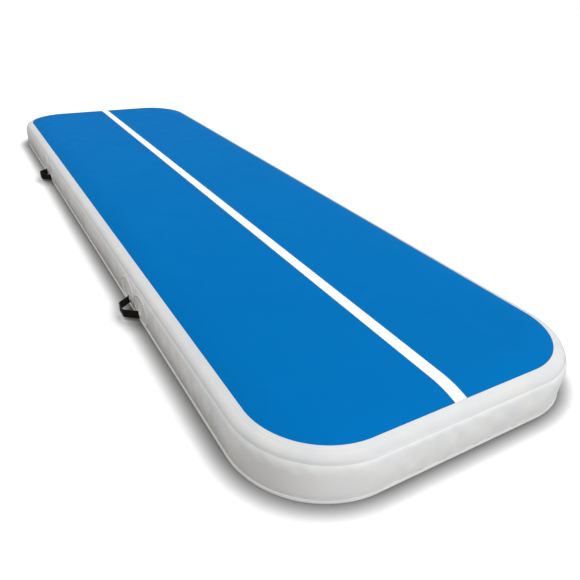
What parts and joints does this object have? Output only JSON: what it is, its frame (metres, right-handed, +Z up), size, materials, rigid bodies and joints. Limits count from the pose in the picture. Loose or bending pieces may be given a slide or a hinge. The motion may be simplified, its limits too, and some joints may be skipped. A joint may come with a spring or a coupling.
{
  "type": "air track mat",
  "caption": "Long inflatable drop-stitch tumbling mat with rounded corners, flat coloured top, centre line, bulging side walls, webbing carry handles and an inflation valve.",
  "frame": {"origin": "middle of the underside, on the floor", "axes": "+X across the mat to its right, +Y along its length towards the valve end, +Z up"},
  "size_m": [1.9568, 6.0173, 0.2505],
  "materials": {
    "blue_top": "vivid blue PVC-coated drop-stitch fabric, satin, very fine embossed grain",
    "white_stripe": "white painted-on PVC line, satin",
    "grey_underside": "light grey PVC-coated fabric, satin",
    "white_wall": "white PVC tarpaulin, semi-gloss, softly puckered",
    "white_tape": "bright white PVC seam tape, glossy",
    "yarn": "white polyester yarn",
    "moulded_patch": "off-white moulded PVC, satin",
    "black_webbing": "black polyester webbing, ribbed weave",
    "valve_plastic": "grey moulded nylon, satin",
    "valve_rubber": "black rubber",
    "spring_steel": "bright spring wire"
  },
  "bodies": {
    "mat": {"bottom_edge_strip": "white_tape", "bottom_lap_strip": "white_tape", "bottom_sheet": "grey_underside", "cap_tether": "valve_plastic", "centre_stripe": "white_stripe", "drop_stitch_yarns": "yarn", "handle_left_back_patch_back": "moulded_patch", "handle_left_back_patch_front": "moulded_patch", "handle_left_back_strap_ends": "black_webbing", "handle_left_front_patch_back": "moulded_patch", "handle_left_front_patch_front": "moulded_patch", "handle_left_front_strap_ends": "black_webbing", "handle_right_back_patch_back": "moulded_patch", "handle_right_back_patch_front": "moulded_patch", "handle_right_back_strap_ends": "black_webbing", "handle_right_front_patch_back": "moulded_patch", "handle_right_front_patch_front": "moulded_patch", "handle_right_front_strap_ends": "black_webbing", "sidewall_inner": "white_wall", "sidewall_outer": "white_wall", "top_lap_strip": "white_tape", "top_seam_tape": "white_tape", "top_sheet": "blue_top", "valve_base": "valve_plastic", "valve_gasket": "valve_rubber", "valve_nut": "valve_plastic", "valve_patch": "white_tape", "valve_spring": "spring_steel"},
    "handle_left_front": {"handle_left_front_strap": "black_webbing"},
    "handle_left_back": {"handle_left_back_strap": "black_webbing"},
    "handle_right_front": {"handle_right_front_strap": "black_webbing"},
    "handle_right_back": {"handle_right_back_strap": "black_webbing"},
    "valve_poppet": {"valve_poppet": "valve_rubber"},
    "valve_stem": {"valve_stem": "valve_plastic"},
    "valve_cap": {"valve_cap": "valve_plastic", "cap_seal": "valve_rubber"}
  },
  "joints": [
    {"name": "handle_left_front_swing", "type": "hinge", "parent": "mat", "child": "handle_left_front", "pos_m": [-0.903, -1.31, 0.05], "axis": [0, 1, 0], "range_deg": [-15, 45]},
    {"name": "handle_left_back_swing", "type": "hinge", "parent": "mat", "child": "handle_left_back", "pos_m": [-0.903, 1.31, 0.05], "axis": [0, 1, 0], "range_deg": [-15, 45]},
    {"name": "handle_right_front_swing", "type": "hinge", "parent": "mat", "child": "handle_right_front", "pos_m": [0.903, -1.31, 0.05], "axis": [0, -1, 0], "range_deg": [-15, 45]},
    {"name": "handle_right_back_swing", "type": "hinge", "parent": "mat", "child": "handle_right_back", "pos_m": [0.903, 1.31, 0.05], "axis": [0, -1, 0], "range_deg": [-15, 45]},
    {"name": "valve_press", "type": "slide", "parent": "mat", "child": "valve_poppet", "axis": [0, -1, 0], "range_m": [0, 0.0045], "stiffness_N_per_m": 400, "springref_m": -0.002, "deforming": ["valve_spring"]},
    {"name": "valve_turn", "type": "hinge", "parent": "valve_poppet", "child": "valve_stem", "pos_m": [0.3, 3, 0.1], "axis": [0, 1, 0], "range_deg": [0, 90]},
    {"name": "cap_flip", "type": "hinge", "parent": "mat", "child": "valve_cap", "pos_m": [0.3, 3.0144, 0.134], "axis": [1, 0, 0], "range_deg": [0, 150]}
  ]
}
